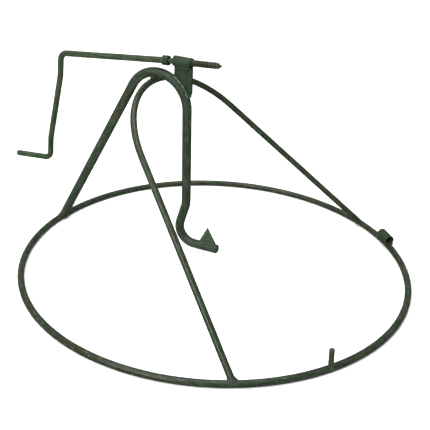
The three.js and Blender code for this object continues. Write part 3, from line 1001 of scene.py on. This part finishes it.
def crank_weld():
    steps = 40
    middle = NUT_BACK - 0.4
    radius = CRANK_BAR / 2 + 0.2
    seam = []
    for i in range(steps):
        angle = 2 * math.pi * i / steps
        seam.append(Vector((middle, radius * math.cos(angle), radius * math.sin(angle))))
    run = bead(seam + seam[:1], 0.7, seed=61)
    thing = weld("crank_bead", seam, run, reach=2.5, height=0.2, relax=2, seed=61, place=SCREW_PLACE)
    return finish_piece(thing, "weld_crank", "crank", "weld_enamel")


# ---------------------------------------------------------------- the model

ring_piece()
bar_piece("hook_bar", "main_bar", main_path, MAIN_BAR, 1.3, "hook_enamel", seed=5)
bar_piece("arch", "arch_bar", arch_path, ARCH_BAR, 0, "bar_enamel", seed=7)
peg_piece()
sleeve_piece()
socket_piece()
gusset_piece()
spike_piece()

near_direction = arch_path[1] - arch_path[0]
far_direction = arch_path[-2] - arch_path[-1]
foot_fillet("leg_fillet", "weld_main_foot", math.pi, leg_direction, MAIN_BAR,
            throat=0.6, webs=[(6, 8), (10, 12)], look="hook_enamel", seed=11)
foot_fillet("arch_fillet_near", "weld_arch_foot_near", -ARCH_FOOT_ANGLE, near_direction, ARCH_BAR,
            throat=0.7, webs=[(4, 3.5), (4, 3)], look="bar_enamel", seed=12)
foot_fillet("arch_fillet_far", "weld_arch_foot_far", ARCH_FOOT_ANGLE, far_direction, ARCH_BAR,
            throat=0.5, webs=[(3, 3), (3, 3)], look="bar_enamel", seed=13)
arch_top_weld()
gusset_weld("gusset_bead_near", "weld_gusset_near", -1, seed=21)
gusset_weld("gusset_bead_far", "weld_gusset_far", 1, seed=22)
sleeve_weld("sleeve_bead_near", "weld_sleeve_near", -1, seed=23)
sleeve_weld("sleeve_bead_far", "weld_sleeve_far", 1, seed=24)
spike_weld("spike_bead_near", "weld_spike_near", -1, seed=31)
spike_weld("spike_bead_far", "weld_spike_far", 1, seed=32)
socket_weld("socket_bead_inner", "weld_socket_inner", -1, seed=25)
socket_weld("socket_bead_outer", "weld_socket_outer", 1, seed=26)
foot_fillet("peg_fillet", "weld_peg", PEG_ANGLE, peg_direction(), PEG_BAR,
            throat=0.5, webs=[(1.5, 1.5), (4.5, 3)], look="pale_enamel", seed=51)

washer_piece()
screw_piece()
screw_head_piece()
nut_piece()
crank_piece()
crank_weld()

# ---------------------------------------------------------------- floor, light and camera

LIGHT_AIM = Vector((0, 0, 0.1))
WALL_GLOW = 0.28
CEILING_GLOW = 0.75


def floor():
    reach = 12
    corners = [(-reach, -reach, 0), (reach, -reach, 0), (reach, reach, 0), (-reach, reach, 0)]
    mesh = bpy.data.meshes.new("floor")
    mesh.from_pydata(corners, [], [(0, 1, 2, 3)])
    thing = bpy.data.objects.new("floor", mesh)
    bpy.context.scene.collection.objects.link(thing)
    mesh.materials.append(pale_floor())
    thing.visible_glossy = False


def soft_light(name, place, width, height, power):
    """An area light that faces the stand's middle."""
    lamp = bpy.data.lights.new(name, "AREA")
    lamp.shape = "RECTANGLE"
    lamp.size = width
    lamp.size_y = height
    lamp.energy = power
    thing = bpy.data.objects.new(name, lamp)
    thing.location = place
    thing.rotation_euler = (LIGHT_AIM - Vector(place)).to_track_quat("-Z", "Y").to_euler()
    bpy.context.scene.collection.objects.link(thing)


def studio():
    """Dim walls under a pale ceiling, a strip light in front and a broad one overhead."""
    world = bpy.data.worlds.new("studio")
    bpy.context.scene.world = world
    world.use_nodes = True
    nodes = world.node_tree.nodes
    links = world.node_tree.links
    height = nodes.new("ShaderNodeSeparateXYZ")
    links.new(nodes.new("ShaderNodeTexCoord").outputs["Generated"], height.inputs["Vector"])
    brightness = nodes.new("ShaderNodeMapRange")
    brightness.inputs["From Min"].default_value = 0.1
    brightness.inputs["From Max"].default_value = 0.9
    brightness.inputs["To Min"].default_value = WALL_GLOW
    brightness.inputs["To Max"].default_value = CEILING_GLOW
    links.new(height.outputs["Z"], brightness.inputs["Value"])
    links.new(brightness.outputs["Result"], nodes["Background"].inputs["Strength"])
    nodes["Background"].inputs["Color"].default_value = (1, 1, 1, 1)
    soft_light("key", (-0.32, -1.97, 1.38), width=1.5, height=0.35, power=56)
    soft_light("overhead", (-0.2, -0.1, 3.0), width=2.4, height=2.4, power=100)


CAMERA_PLACE = Vector((385.4, -780.2, 511.3))  # from the ring's centre on the floor
CAMERA_PITCH = math.radians(26.7609)
CAMERA_YAW = math.radians(26.523)
CAMERA_ROLL = math.radians(2.816)
CAMERA_LENS = 63.63


def camera():
    """The camera looks down at the stand from beyond the screw's point, with a slight roll."""
    forward = Vector((
        -math.sin(CAMERA_YAW) * math.cos(CAMERA_PITCH),
        math.cos(CAMERA_YAW) * math.cos(CAMERA_PITCH),
        -math.sin(CAMERA_PITCH),
    ))
    level = forward.cross(UP).normalized()
    upwards = level.cross(forward)
    right = level * math.cos(CAMERA_ROLL) + upwards * math.sin(CAMERA_ROLL)
    top = upwards * math.cos(CAMERA_ROLL) - level * math.sin(CAMERA_ROLL)
    eye = (CAMERA_PLACE + Vector((RING_X, 0, 0))) * MM
    data = bpy.data.cameras.new("camera")
    data.lens = CAMERA_LENS
    data.sensor_width = 36
    data.clip_start = 0.01
    thing = bpy.data.objects.new("camera", data)
    thing.matrix_world = Matrix((
        (right.x, top.x, -forward.x, eye.x),
        (right.y, top.y, -forward.y, eye.y),
        (right.z, top.z, -forward.z, eye.z),
        (0, 0, 0, 1),
    ))
    bpy.context.scene.collection.objects.link(thing)
    bpy.context.scene.camera = thing


floor()
studio()
camera()
bpy.context.scene.view_settings.view_transform = "Standard"
